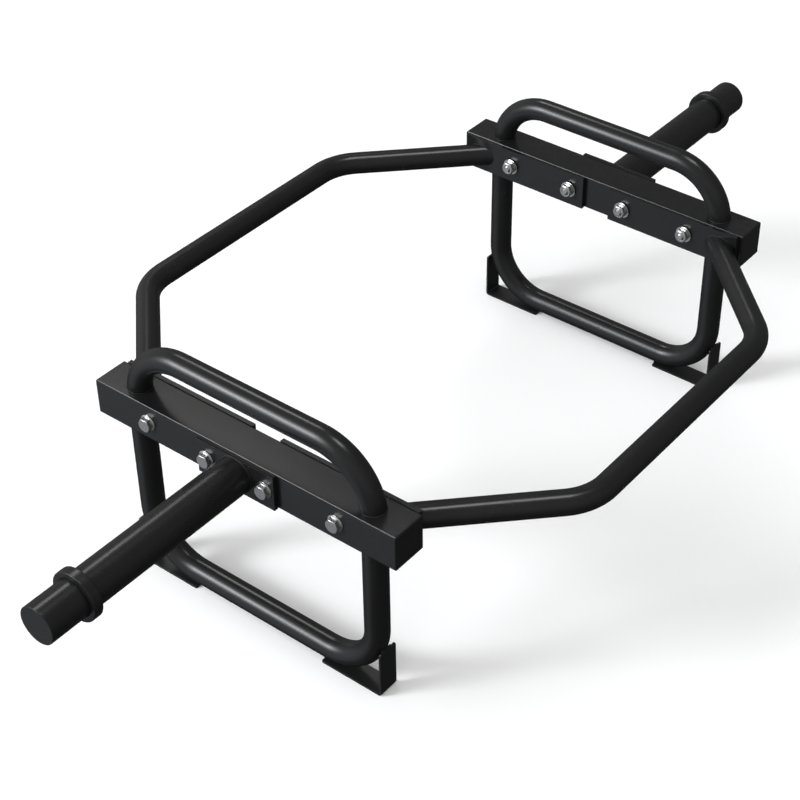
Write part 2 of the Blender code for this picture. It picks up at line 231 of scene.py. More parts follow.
def enamel(name, roughness, peel_height, cover):
    """Satin black enamel: orange peel, a little grit, and a film that dulls it unevenly."""
    material, tree, place = open_material(name)
    peel = {"Coordinates": place, "Peel Height": peel_height}
    height = put(tree, "ShaderNodeGroup", peel, node_tree=ENAMEL_SKIN).outputs["Height"]
    film = {"Coordinates": place, "Cover": cover}
    mask = put(tree, "ShaderNodeGroup", film, node_tree=HANDLING_FILM).outputs["Mask"]
    shader = coat(tree, mask, height, (ENAMEL_TONE, ENAMEL_FILM), roughness)
    shader.inputs["IOR"].default_value = ENAMEL_IOR
    return material


def middle(node):
    """The middle of a CAD node's box."""
    low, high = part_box(node)
    return (low + high) / 2


def outline(half_a, half_b, corner, steps):
    """Points (a, b) round a rectangle with rounded corners, anticlockwise."""
    points = []
    for number, (sign_a, sign_b) in enumerate(((1, 1), (-1, 1), (-1, -1), (1, -1))):
        for step in range(steps + 1):
            turn = math.pi / 2 * (number + step / steps)
            a = sign_a * (half_a - corner) + corner * math.cos(turn)
            b = sign_b * (half_b - corner) + corner * math.sin(turn)
            points.append((a, b))
    return points


def round_ring(x, radius, centre, sides):
    """Points round an axis along X, at one place along it."""
    turns = [math.tau * step / sides for step in range(sides)]
    return [
        (x, centre.y + radius * math.cos(turn), centre.z + radius * math.sin(turn))
        for turn in turns
    ]


def skin_over(shape, rings, around=False):
    """Joins rings of points with faces, closing the ends, or the last ring to the first."""
    rows = [[shape.verts.new(point) for point in ring] for ring in rings]
    following = rows[1:] + rows[:1] if around else rows[1:]
    for one, two in zip(rows, following):
        for here in range(len(one)):
            there = (here + 1) % len(one)
            shape.faces.new((one[here], one[there], two[there], two[here]))
    if not around:
        shape.faces.new(rows[0])
        shape.faces.new(rows[-1])


def as_piece(name, shape):
    """Turns a drafted shape into an object at the origin, its faces outwards."""
    bmesh.ops.recalc_face_normals(shape, faces=shape.faces)
    mesh = bpy.data.meshes.new(name)
    shape.to_mesh(mesh)
    shape.free()
    piece = bpy.data.objects.new(name, mesh)
    scene.collection.objects.link(piece)
    return piece


def build(name, rings, around=False):
    """Makes a piece by joining rings of points with faces."""
    shape = bmesh.new()
    skin_over(shape, rings, around)
    return as_piece(name, shape)


def make_plain(piece):
    """Swaps the piece's mesh for the one that its modifiers give, and takes them off."""
    graph = bpy.context.evaluated_depsgraph_get()
    graph.update()
    mesh = bpy.data.meshes.new_from_object(
        piece.evaluated_get(graph), preserve_all_data_layers=True, depsgraph=graph
    )
    piece.modifiers.clear()
    piece.data = mesh
    mesh.name = piece.name


def soften(piece, edge=0.0, steps=3, crease=CREASE):
    """Rounds the sharp edges if asked, and shades the flats flat and the rounds round."""
    for face in piece.data.polygons:
        face.use_smooth = True
    if edge:
        bevel = piece.modifiers.new("edge", "BEVEL")
        bevel.width = edge
        bevel.segments = steps
        bevel.limit_method = "ANGLE"
        bevel.angle_limit = crease
        make_plain(piece)
    piece.data.set_sharp_from_angle(angle=crease)
    weigh = piece.modifiers.new("flats", "WEIGHTED_NORMAL")
    weigh.keep_sharp = True
    make_plain(piece)


def drill(piece, side, bolts):
    """Drills the piece along X at the places of its bolts."""
    low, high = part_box(f"{side}_side_beam")
    bits = bmesh.new()
    for number in bolts:
        centre = middle(f"{side}_bolt_{number}")
        ends = (low.x - DRILL_SPARE, high.x + DRILL_SPARE)
        skin_over(bits, [round_ring(x, BOLT_HOLE / 2, centre, DRILL_SIDES) for x in ends])
    tool = as_piece(f"{piece.name}_bits", bits)
    cut = piece.modifiers.new("bolt_holes", "BOOLEAN")
    cut.operation = "DIFFERENCE"
    cut.solver = "EXACT"
    cut.object = tool
    make_plain(piece)
    bpy.data.objects.remove(tool)


def fit_to_frame(piece, material, slot, body, *nodes):
    """Gives the piece its coat, its body and the CAD nodes that it stands for."""
    piece.data.materials.clear()
    piece.data.materials.append(material)
    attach(piece, body)
    if nodes:
        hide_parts(*nodes)


BEAM_ENAMEL = enamel("beam_enamel", roughness=(0.22, 0.31), peel_height=0.000004, cover=0.8)

for side in SIDES:
    low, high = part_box(f"{side}_side_beam")
    centre = middle(f"{side}_side_beam")
    half_x, half_z = (high.x - low.x) / 2, (high.z - low.z) / 2
    outer = outline(half_x, half_z, BEAM_CORNER, BEAM_CORNER_STEPS)
    inner = outline(half_x - BEAM_WALL, half_z - BEAM_WALL, BEAM_CORNER / 2, BEAM_CORNER_STEPS)
    lap = ((outer, low.y), (outer, high.y), (inner, high.y), (inner, low.y))
    rings = [[(centre.x + a, y, centre.z + b) for a, b in line] for line, y in lap]
    beam = build(f"{side}_beam_tube", rings, around=True)
    drill(beam, side, BOLTS)
    soften(beam)
    fit_to_frame(beam, BEAM_ENAMEL, "black_paint", "frame", f"{side}_side_beam")

# Beam end caps: 4 mm steel squares welded over the ends of the beams, with the weld ground
# flush, so that the coat runs over them without a seam. Their outer edges are rounded off.
CAP_ROUNDING = 0.0018
CAP_ROUNDING_STEPS = 5
ENDS = {"front": 1, "rear": -1}


def end_of(node, axis, way):
    """Where a CAD node ends along axis 0, 1 or 2: the upper end if way is above 0."""
    low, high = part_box(node)
    return high[axis] if way > 0 else low[axis]


def quarter(steps, first=0.0):
    """Pairs (cosine, sine) of even turns from the first one to a right angle."""
    turns = [first + (math.pi / 2 - first) * step / steps for step in range(steps + 1)]
    return [(math.cos(turn), math.sin(turn)) for turn in turns]


for side in SIDES:
    for end, way in ENDS.items():
        node = f"{side}_{end}_beam_cap"
        low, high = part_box(node)
        centre = middle(node)
        half_x, half_z = (high.x - low.x) / 2, (high.z - low.z) / 2
        outer_y = end_of(node, 1, way)
        slices = [(end_of(f"{side}_side_beam", 1, way), 0.0)]
        for run, rise in quarter(CAP_ROUNDING_STEPS):
            slices.append((outer_y - way * CAP_ROUNDING * (1 - rise), CAP_ROUNDING * (1 - run)))
        rings = []
        for y, inset in slices:
            corner = BEAM_CORNER - inset
            square = outline(half_x - inset, half_z - inset, corner, BEAM_CORNER_STEPS)
            rings.append([(centre.x + a, y, centre.z + b) for a, b in square])
        cap = build(f"{side}_{end}_end_cap", rings)
        soften(cap)
        fit_to_frame(cap, BEAM_ENAMEL, "black_paint", "frame", node)

# Top handles: round steel tube, 31.8 mm, bent to an inverted U and welded on top of each beam
# in line with it. The bends start inside the beam's height, so the legs lean a little where
# they meet it, and each foot has a small fillet weld all round.
TUBE_RADIUS = 0.0159
BEND_RADIUS = 0.076
BEND_STEPS = 22
TUBE_SIDES = 44
CUT_SPARE = 0.004
HANDLE_WELD = 0.0006
WELD_PITCH = 0.0022
SEAM_STEPS = 72

# Trim Curve has Start and End twice, as shares and as lengths. These are the lengths.
TRIM_START = 4
TRIM_END = 5


def sweep(tree, curve, sides, radius, swell=1.0):
    """The smooth closed surface that a circle leaves as it runs along a curve."""
    circle = {"Resolution": sides, "Radius": radius}
    section = put(tree, "GeometryNodeCurvePrimitiveCircle", circle).outputs["Curve"]
    run = {"Curve": curve, "Profile Curve": section, "Scale": swell, "Fill Caps": True}
    return put(tree, "GeometryNodeCurveToMesh", run).outputs["Mesh"]


def close_tree(tree, geometry, finish, result):
    """Ends a tree: makes everything in it real and gives it its finish."""
    real = put(tree, "GeometryNodeRealizeInstances", {"Geometry": geometry})
    dress = {"Geometry": real.outputs["Geometry"], "Material": finish}
    finished = put(tree, "GeometryNodeSetMaterial", dress)
    tree.links.new(finished.outputs["Geometry"], result["Geometry"])
    return tree


def bent_tube_tree():
    """Bends a line of corner points, cuts its ends back and seats a tube on flat faces."""
    tree, given, result = open_group(
        "bent_tube",
        "GeometryNodeTree",
        [
            ("Geometry", "Geometry", None),
            ("Tube Radius", "Float", TUBE_RADIUS),
            ("Bend Radius", "Float", BEND_RADIUS),
            ("Bend Steps", "Int", BEND_STEPS),
            ("Sides", "Int", TUBE_SIDES),
            ("Cut Back", "Float", 0.0),
            ("Seat Axis", "Vector", (0.0, 0.0, 1.0)),
            ("Seat Distance", "Float", 0.0),
            ("Coat", "Material", None),
        ],
        [("Geometry", "Geometry")],
    )
    line = put(tree, "GeometryNodeMeshToCurve", {"Mesh": given["Geometry"]}).outputs["Curve"]
    bend = {"Curve": line, "Count": given["Bend Steps"], "Radius": given["Bend Radius"]}
    bent = put(tree, "GeometryNodeFilletCurve", bend, mode="POLY").outputs["Curve"]
    length = put(tree, "GeometryNodeCurveLength", {"Curve": bent}).outputs["Length"]
    far_cut = reckon(tree, "SUBTRACT", length, given["Cut Back"])
    cuts = {"Curve": bent, TRIM_START: given["Cut Back"], TRIM_END: far_cut}
    trimmed = put(tree, "GeometryNodeTrimCurve", cuts, mode="LENGTH")
    kept = put(tree, "GeometryNodeCaptureAttribute", {0: trimmed.outputs["Curve"]})
    kept.capture_items.new("VECTOR", "Direction")
    kept.capture_items.new("BOOLEAN", "End")
    direction = put(tree, "GeometryNodeInputTangent")
    ends = put(tree, "GeometryNodeCurveEndpointSelection")
    tree.links.new(direction.outputs["Tangent"], kept.inputs["Direction"])
    tree.links.new(ends.outputs["Selection"], kept.inputs["End"])
    tube = sweep(tree, kept.outputs["Geometry"], given["Sides"], given["Tube Radius"])
    here = put(tree, "GeometryNodeInputPosition").outputs["Position"]
    height, slope = [
        put(tree, "ShaderNodeVectorMath", {0: way, 1: given["Seat Axis"]}, operation="DOT_PRODUCT")
        for way in (here, kept.outputs["Direction"])
    ]
    which = reckon(tree, "SIGN", height.outputs["Value"])
    seat = reckon(tree, "MULTIPLY", which, given["Seat Distance"])
    short = reckon(tree, "SUBTRACT", seat, height.outputs["Value"])
    along = reckon(tree, "DIVIDE", short, slope.outputs["Value"])
    push = {0: kept.outputs["Direction"], "Scale": along}
    slide = put(tree, "ShaderNodeVectorMath", push, operation="SCALE").outputs["Vector"]
    move = {"Geometry": tube, "Selection": kept.outputs["End"], "Offset": slide}
    seated = put(tree, "GeometryNodeSetPosition", move).outputs["Geometry"]
    smooth = put(tree, "GeometryNodeSetShadeSmooth", {"Geometry": seated})
    return close_tree(tree, smooth.outputs["Geometry"], given["Coat"], result)


def weld_bead_tree():
    """Lays a bead along a seam, rippled by the welder's even steps with a little wander."""
    tree, given, result = open_group(
        "weld_bead",
        "GeometryNodeTree",
        [
            ("Geometry", "Geometry", None),
            ("Bead Radius", "Float", HANDLE_WELD),
            ("Sides", "Int", 10),
            ("Pitch", "Float", WELD_PITCH),
            ("Ripple", "Float", 0.09),
            ("Wander Scale", "Float", 180.0),
            ("Step", "Float", 0.0007),
            ("Seed", "Float", 3.0),
            ("Coat", "Material", None),
        ],
        [("Geometry", "Geometry")],
    )
    line = put(tree, "GeometryNodeMeshToCurve", {"Mesh": given["Geometry"]}).outputs["Curve"]
    even = {"Curve": line, "Length": given["Step"]}
    fine = put(tree, "GeometryNodeResampleCurve", even, mode="LENGTH").outputs["Curve"]
    here = put(tree, "GeometryNodeInputPosition").outputs["Position"]
    clouds = {"Vector": here, "W": given["Seed"], "Scale": given["Wander Scale"], "Detail": 2.0}
    wander = put(tree, "ShaderNodeTexNoise", clouds, noise_dimensions="4D").outputs["Fac"]
    run = put(tree, "GeometryNodeSplineParameter").outputs["Length"]
    turns = reckon(tree, "DIVIDE", run, given["Pitch"])
    phase = reckon(tree, "MULTIPLY", reckon(tree, "ADD", turns, wander), math.tau)
    wave = reckon(tree, "SINE", phase)
    swell = reckon(tree, "MULTIPLY_ADD", wave, given["Ripple"], 1.0)
    bead = sweep(tree, fine, given["Sides"], given["Bead Radius"], swell)
    smooth = put(tree, "GeometryNodeSetShadeSmooth", {"Geometry": bead})
    return close_tree(tree, smooth.outputs["Geometry"], given["Coat"], result)


BENT_TUBE = bent_tube_tree()
WELD_BEAD = weld_bead_tree()


def grow(name, lines, tree, settings):
    """Runs a tree on lines of points, each (points, closed), and keeps the plain mesh."""
    points, edges = [], []
    for line, closed in lines:
        first = len(points)
        points.extend(line)
        edges.extend((first + i, first + i + 1) for i in range(len(line) - 1))
        if closed:
            edges.append((len(points) - 1, first))
    mesh = bpy.data.meshes.new(name)
    mesh.from_pydata(points, edges, [])
    piece = bpy.data.objects.new(name, mesh)
    scene.collection.objects.link(piece)
    modifier = piece.modifiers.new(tree.name, "NODES")
    modifier.node_group = tree
    for item in tree.interface.items_tree:
        if item.item_type == "SOCKET" and item.in_out == "INPUT" and item.name in settings:
            modifier[item.identifier] = settings[item.name]
    make_plain(piece)
    return piece


def seam(centre, along_one, along_two):
    """A closed line round the foot of a tube, with the two half axes of its oval."""
    turns = [math.tau * step / SEAM_STEPS for step in range(SEAM_STEPS)]
    one, two = Vector(along_one), Vector(along_two)
    line = [Vector(centre) + one * math.cos(turn) + two * math.sin(turn) for turn in turns]
    return line, True


def weld(name, seams, radius):
    """Lays beads on the seams of the frame."""
    bead = grow(name, seams, WELD_BEAD, {"Bead Radius": radius, "Coat": WELD_ENAMEL})
    fit_to_frame(bead, WELD_ENAMEL, "black_paint", "frame")


def bend_tube(name, node, corners, bend_steps, cut_back, seat_axis, seat_distance):
    """Bends a tube round its corners and seats its two ends on flat faces."""
    settings = {
        "Bend Steps": bend_steps,
        "Cut Back": cut_back,
        "Seat Axis": seat_axis,
        "Seat Distance": seat_distance,
        "Coat": TUBE_ENAMEL,
    }
    tube = grow(name, [(corners, False)], BENT_TUBE, settings)
    fit_to_frame(tube, TUBE_ENAMEL, "black_paint", "frame", node)


def u_shape(x, leg_y, leg_z, cross_z):
    """The four corners of a U that stands across the beam's middle."""
    return [(x, -leg_y, leg_z), (x, -leg_y, cross_z), (x, leg_y, cross_z), (x, leg_y, leg_z)]


TUBE_ENAMEL = enamel("tube_enamel", roughness=(0.24, 0.32), peel_height=0.000003, cover=0.8)
WELD_ENAMEL = enamel("weld_enamel", roughness=(0.55, 0.65), peel_height=0.000005, cover=0.5)

for side in SIDES:
    node = f"{side}_top_handle"
    low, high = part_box(node)
    beam_top = end_of(f"{side}_side_beam", 2, 1)
    x = (low.x + high.x) / 2
    leg_y = high.y - TUBE_RADIUS
    top_z = high.z - TUBE_RADIUS
    bend_start = top_z - BEND_RADIUS

    # The tube's line starts just below its bend and is cut back to where it meets the beam.
    lean = math.asin((beam_top - bend_start) / BEND_RADIUS)
    leg_in = BEND_RADIUS * (1 - math.cos(lean))
    corners = u_shape(x, leg_y, bend_start - CUT_SPARE, top_z)
    cut_back = CUT_SPARE + BEND_RADIUS * lean
    bend_tube(f"{side}_handle_tube", node, corners, BEND_STEPS, cut_back, (0, 0, 1), beam_top)
    oval = ((TUBE_RADIUS, 0, 0), (0, TUBE_RADIUS / math.cos(lean), 0))
    seams = [seam((x, way * (leg_y - leg_in), beam_top), *oval) for way in (-1, 1)]
    weld(f"{side}_handle_welds", seams, HANDLE_WELD)

# Stand loops: the same tube bent to a U and welded under each beam below the handle's legs.
# They hold the bar up off the floor, so that the lifter doesn't bend down for it.
LOOP_WELD = 0.0006

for side in SIDES:
    node = f"{side}_stand_loop"
    low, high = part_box(node)
    beam_bottom = end_of(f"{side}_side_beam", 2, -1)
    x = (low.x + high.x) / 2
    leg_y = high.y - TUBE_RADIUS
    corners = u_shape(x, leg_y, beam_bottom, low.z + TUBE_RADIUS)
    bend_tube(f"{side}_loop_tube", node, corners, BEND_STEPS, 0.0, (0, 0, 1), beam_bottom)
    circle = ((TUBE_RADIUS, 0, 0), (0, TUBE_RADIUS, 0))
    seams = [seam((x, way * leg_y, beam_bottom), *circle) for way in (-1, 1)]
    weld(f"{side}_loop_welds", seams, LOOP_WELD)

# Feet: flat bar, 30 x 3 mm, its corners nipped round, bent to an L round each lower bend of the
# loops and tacked to the tube at its two ends. Its flat underside is what stands on the floor.
FOOT_THICKNESS = 0.003
FOOT_BEND = 0.002
FOOT_BEND_STEPS = 8
FOOT_CORNER = 0.0025
FOOT_CORNER_STEPS = 5
FOOT_EDGE = 0.0005
FOOT_EDGE_STEPS = 2
FOOT_WELD = 0.0010
FOOT_WELD_LENGTH = 0.016
FOOT_WELD_STOPS = (-0.5, -0.25, 0.0, 0.25, 0.5)
SAME_PLACE = 0.0001

FOOT_ENAMEL = enamel("foot_enamel", roughness=(0.36, 0.44), peel_height=0.000004, cover=0.9)


def round_edges(shape, edges, size, steps):
    """Rounds some edges of a drafted shape."""
    bmesh.ops.bevel(
        shape,
        geom=edges,
        offset=size,
        offset_type="OFFSET",
        segments=steps,
        profile=0.5,
        affect="EDGES",
        clamp_overlap=True,
    )


for side in SIDES:
    tacks = []
    for end, way in ENDS.items():
        node = f"{side}_{end}_foot"
        low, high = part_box(node)
        outer_y, tip_y = end_of(node, 1, way), end_of(node, 1, -way)
        inner_y, inner_z = outer_y - way * FOOT_THICKNESS, low.z + FOOT_THICKNESS
        outside, inside = [
            [
                (inner_y + way * (radius * rise - FOOT_BEND), inner_z + FOOT_BEND - radius * run)
                for run, rise in quarter(FOOT_BEND_STEPS)
            ]
            for radius in (FOOT_BEND + FOOT_THICKNESS, FOOT_BEND)
        ]
        profile = [(tip_y, low.z), *outside, (outer_y, high.z), (inner_y, high.z)]
        profile += [*inside[::-1], (tip_y, inner_z)]
        shape = bmesh.new()
        skin_over(shape, [[(x, y, z) for y, z in profile] for x in (low.x, high.x)])
        corners = []
        for edge in shape.edges:
            one, two = [vertex.co for vertex in edge.verts]
            at_tip = max(abs(one.y - tip_y), abs(two.y - tip_y)) < SAME_PLACE
            at_top = max(abs(one.z - high.z), abs(two.z - high.z)) < SAME_PLACE
            if abs(one.x - two.x) < SAME_PLACE and (at_tip or at_top):
                corners.append(edge)
        round_edges(shape, corners, FOOT_CORNER, FOOT_CORNER_STEPS)
        foot = as_piece(f"{side}_{end}_foot_bracket", shape)
        soften(foot, FOOT_EDGE, FOOT_EDGE_STEPS)
        fit_to_frame(foot, FOOT_ENAMEL, "black_paint", "frame", node)
        middle_x = (low.x + high.x) / 2
        for y, z in ((tip_y, inner_z), (inner_y, high.z)):
            tack = [(middle_x + FOOT_WELD_LENGTH * stop, y, z) for stop in FOOT_WELD_STOPS]
            tacks.append((tack, False))
    weld(f"{side}_foot_welds", tacks, FOOT_WELD)

# Sleeve plates: 6 mm steel plates flat on the outer faces of the beams, each held by the two
# middle bolts. The sleeve is welded on its middle. The groove that the beam's rounded corner
# leaves along a plate is filled to just below flush before the enamel goes on.
PLATE_EDGE = 0.0001
FILL_DROP = 0.0010
FILL_STEPS = 8
MIDDLE_BOLTS = (2, 3)


def fill_grooves(name, node, side):
    """Fills the grooves between a plate's long edges and the rounded corners of its beam."""
    low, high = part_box(node)
    towards = 1 if middle(f"{side}_side_beam").x > middle(node).x else -1
    face_x = end_of(node, 0, towards) - towards * PLATE_EDGE
    beam_x = end_of(f"{side}_side_beam", 0, -towards)
    first = math.acos(1 - FILL_DROP / BEAM_CORNER)
    for edge, way, edge_z in (("top", 1, high.z), ("bottom", -1, low.z)):
        profile = [(face_x, edge_z - way * FILL_DROP)]
        for run, rise in quarter(FILL_STEPS, first):
            x = beam_x + towards * BEAM_CORNER * (1 - rise)
            profile.append((x, edge_z - way * BEAM_CORNER * (1 - run)))
        profile.append((face_x, edge_z - way * BEAM_CORNER))
        ends = (low.y + PLATE_EDGE, high.y - PLATE_EDGE)
        fill = build(f"{name}_{edge}_fill", [[(x, y, z) for x, z in profile] for y in ends])
        soften(fill)
        fit_to_frame(fill, BEAM_ENAMEL, "black_paint", "frame")


def plate(name, node, side, bolts):
    """A flat plate of the node's size, drilled for its bolts, with its edges just broken."""
    low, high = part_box(node)
    corners = ((low.y, low.z), (high.y, low.z), (high.y, high.z), (low.y, high.z))
    piece = build(name, [[(x, y, z) for y, z in corners] for x in (low.x, high.x)])
    drill(piece, side, bolts)
    soften(piece, PLATE_EDGE)
    fit_to_frame(piece, BEAM_ENAMEL, "black_paint", "frame", node)
    fill_grooves(name, node, side)


for side in SIDES:
    plate(f"{side}_sleeve_flange", f"{side}_sleeve_plate", side, MIDDLE_BOLTS)

# Weight sleeves: 50 mm steel tube that takes the plates' bores, welded square on the sleeve
# plates and closed at the outer end by a disc with a slightly broken edge.
SLEEVE_WALL = 0.005
SLEEVE_SIDES = 96
DISC_EDGE = 0.0010
SLEEVE_WELD = 0.0010
ROUND_STEPS = 4


def turn_up(name, profile, centre, around=False):
    """Spins points (x, radius) round an axis along X, as a lathe would cut them."""
    piece = build(name, [round_ring(x, r, centre, SLEEVE_SIDES) for x, r in profile], around)
    soften(piece)
    return piece


def rounded_edge(x, radius, way_x, way_radius, size):
    """Points (x, radius) of a quarter round at a corner, from the rim to the side face."""
    return [
        (x + way_x * size * (1 - rise), radius + way_radius * size * (1 - run))
        for run, rise in quarter(ROUND_STEPS)
    ]


SLEEVE_ENAMEL = enamel("sleeve_enamel", roughness=(0.27, 0.35), peel_height=0.0000015, cover=0.8)

for side, sign in SIDES.items():
    node = f"{side}_sleeve"
    low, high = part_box(node)
    centre = middle(node)
    radius = (high.z - low.z) / 2
    bore = radius - SLEEVE_WALL
    plate_x = end_of(f"{side}_sleeve_plate", 0, sign)
    joint_x = end_of(f"{side}_sleeve_end_disc", 0, -sign)
    end_x = end_of(f"{side}_sleeve_end_disc", 0, sign)
    profile = [(plate_x, radius), (joint_x, radius), (joint_x, bore), (plate_x, bore)]
    sleeve = turn_up(f"{side}_sleeve_tube", profile, centre, around=True)
    fit_to_frame(sleeve, SLEEVE_ENAMEL, "black_paint", "frame", node)
    profile = [(joint_x, radius)] + rounded_edge(end_x, radius, -sign, -1, DISC_EDGE)
    disc = turn_up(f"{side}_sleeve_disc", profile, centre)
    fit_to_frame(disc, SLEEVE_ENAMEL, "black_paint", "frame", f"{side}_sleeve_end_disc")
    foot_line = seam((plate_x, centre.y, centre.z), (0, radius, 0), (0, 0, radius))
    weld(f"{side}_sleeve_weld", [foot_line], SLEEVE_WELD)

# Collars: plain turned steel rings that slide on the sleeves and hold the plates on, faced
# flat at both ends with slightly rounded rims, enamelled like the sleeves.
COLLAR_WALL = 0.00745
COLLAR_EDGE = 0.0013
COLLAR_INNER_EDGE = 0.0006

COLLAR_ENAMEL = enamel("collar_enamel", roughness=(0.27, 0.35), peel_height=0.0000015, cover=0.8)

for side in SIDES:
    node = f"{side}_collar"
    low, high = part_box(node)
    rim = (high.z - low.z) / 2
    bore = rim - COLLAR_WALL
    profile = (
        rounded_edge(high.x, bore, -1, 1, COLLAR_INNER_EDGE)
        + rounded_edge(high.x, rim, -1, -1, COLLAR_EDGE)[::-1]
        + rounded_edge(low.x, rim, 1, -1, COLLAR_EDGE)
        + rounded_edge(low.x, bore, 1, 1, COLLAR_INNER_EDGE)[::-1]
    )
    collar = turn_up(f"{side}_collar_ring", profile, middle(node), around=True)
    fit_to_frame(collar, COLLAR_ENAMEL, "collar_paint", node, node)

# Ring halves: the same round tube in two mirrored bends, in front of the lifter and behind.
# Each runs in at 45 degrees to a plate on the inner face of either beam, which cuts it to an
# oval end.
RING_END_HALF = TUBE_RADIUS * math.sqrt(2)

for end, way in ENDS.items():
    node = f"{end}_ring_half"
    low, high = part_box(node)
    run_y = way * end_of(node, 1, way) - TUBE_RADIUS
    end_y = way * end_of(node, 1, -way) + RING_END_HALF
    z = (low.z + high.z) / 2
    corner_x = high.x - (run_y - end_y)
    route = ((-high.x, end_y), (-corner_x, run_y), (corner_x, run_y), (high.x, end_y))
    corners = [(x, way * y, z) for x, y in route]
    seat_x = end_of(f"right_{end}_ring_plate", 0, -1)
    bend_tube(f"{end}_ring_tube", node, corners, BEND_STEPS // 2, 0.0, (1, 0, 0), seat_x)

# Ring end plates: 6 mm plates welded on the ends of the ring halves, each clamped on a beam's
# inner face by two bolts. The fillet weld runs round the slanted end of the tube.
RING_WELD = 0.0006
RING_BOLTS = {"front": (1, 2), "rear": (3, 4)}

for side, sign in SIDES.items():
    for end, way in ENDS.items():
        node = f"{side}_{end}_ring_plate"
        plate(f"{side}_{end}_ring_flange", node, side, RING_BOLTS[end])
        end_y = end_of(f"{end}_ring_half", 1, -way) + way * RING_END_HALF
        foot_middle = (end_of(node, 0, -sign), end_y, middle(f"{end}_ring_half").z)
        foot_line = seam(foot_middle, (0, RING_END_HALF, 0), (0, 0, TUBE_RADIUS))
        weld(f"{side}_{end}_ring_weld", [foot_line], RING_WELD)

# Bolts: zinc plated hexagon bolts, 10 mm, through sleeve plate, beam and ring plate, heads
# outside and turned flat side up. The heads are chamfered to a round face and stand on a small
# collar of their own, and the rolled thread comes a little way through the nut to a blunt point.
END_BOLTS = (1, 4)
BOLT_RADIUS = 0.005
HEX_FLATS = 0.0175
HEX_EDGE = 0.00022
HEX_EDGE_STEPS = 2
HEX_SHARP = math.radians(25)
HEX_CHAMFER = math.radians(36)
UNCUT = math.inf
HEAD_FACE = 0.0084
HEAD_COLLAR = 0.0080
HEAD_COLLAR_HEIGHT = 0.0003
TIP_FACE = 0.0034
TIP_LENGTH = 0.0011
THREAD_PITCH = 0.0015
THREAD_DEPTH = 0.0007
THREAD_LENGTH = 0.0045
THREAD_STEPS = 30
THREAD_RUN_OUT = 4
FASTENER_STEPS = 48
FASTENER_CREASE = math.radians(24)
ZINC_LIGHT = (0.86, 0.86, 0.85, 1)
ZINC_DULL = (0.48, 0.48, 0.47, 1)
ZINC_RELIEF = 0.0000015


def zinc_grain_group():
    """Mask of the crystalline mottle of zinc plating, with fine wiping marks in it."""
    group, given, result = open_group(
        "zinc_grain",
        "ShaderNodeTree",
        [
            ("Coordinates", "Vector", None),
            ("Crystal Size", "Float", 0.0012),
            ("Mark Size", "Float", 0.0003),
            ("Marks", "Float", 0.4),
        ],
        [("Mask", "Float")],
    )
    scale = reckon(group, "DIVIDE", 1.0, given["Crystal Size"])
    cells = {"Vector": given["Coordinates"], "Scale": scale}
    crystals = put(group, "ShaderNodeTexVoronoi", cells).outputs["Color"]
    grey = put(group, "ShaderNodeRGBToBW", {"Color": crystals}).outputs["Val"]
    marks = noise(group, given["Coordinates"], given["Mark Size"], detail=3.0)
    group.links.new(mix(group, "FLOAT", given["Marks"], grey, marks), result["Mask"])
    return group


ZINC_GRAIN = zinc_grain_group()


def zinc(name, roughness):
    """Bright zinc plating on steel, duller where the crystals are darker."""
    material, tree, place = open_material(name)
    grain = {"Coordinates": place}
    mask = put(tree, "ShaderNodeGroup", grain, node_tree=ZINC_GRAIN).outputs["Mask"]
    height = reckon(tree, "MULTIPLY", mask, ZINC_RELIEF)
    shader = coat(tree, mask, height, (ZINC_LIGHT, ZINC_DULL), roughness)
    shader.inputs["Metallic"].default_value = 1.0
    return material


def fastener_tree():
    """Sets one fastener at every point, turned half round on the left side."""
    tree, given, result = open_group(
        "fasteners_on_both_sides",
        "GeometryNodeTree",
        [
            ("Geometry", "Geometry", None),
            ("Fastener", "Object", None),
            ("Finish", "Material", None),
        ],
        [("Geometry", "Geometry")],
    )
    pattern = put(tree, "GeometryNodeObjectInfo", {"Object": given["Fastener"]})
    here = put(tree, "GeometryNodeInputPosition").outputs["Position"]
    apart = put(tree, "ShaderNodeSeparateXYZ", {"Vector": here})
    on_left = reckon(tree, "LESS_THAN", apart.outputs["X"], 0.0)
    half_turn = reckon(tree, "MULTIPLY", on_left, math.pi)
    turn = put(tree, "ShaderNodeCombineXYZ", {"Z": half_turn}).outputs["Vector"]
    rotation = put(tree, "FunctionNodeEulerToRotation", {"Euler": turn}).outputs["Rotation"]
    shape = pattern.outputs["Geometry"]
    setting = {"Points": given["Geometry"], "Instance": shape, "Rotation": rotation}
    turned = put(tree, "GeometryNodeInstanceOnPoints", setting).outputs["Instances"]
    return close_tree(tree, turned, given["Finish"], result)


FASTENERS = fastener_tree()


def set_out(name, pattern, kind, numbers, seat_kind, finish):
    """Sets a fastener on the outer faces of its seats and lets it stand for its CAD nodes."""
    nodes, places = [], []
    for side, sign in SIDES.items():
        for number in numbers:
            node = f"{side}_{kind}_{number}"
            seat_x = end_of(f"{side}_{seat_kind}_{number}", 0, sign)
            nodes.append(node)
            places.append((seat_x, middle(node).y, middle(node).z))
    points = [([place], False) for place in places]
    pieces = grow(name, points, FASTENERS, {"Fastener": pattern, "Finish": finish})
    bpy.data.objects.remove(pattern)
    fit_to_frame(pieces, finish, "zinc", "frame", *nodes)


def circle(x, radius):
    """A ring of points round the bolt's axis, at one place along it."""
    turns = [math.tau * step / FASTENER_STEPS for step in range(FASTENER_STEPS)]
    return [(x, radius * math.sin(turn), radius * math.cos(turn)) for turn in turns]


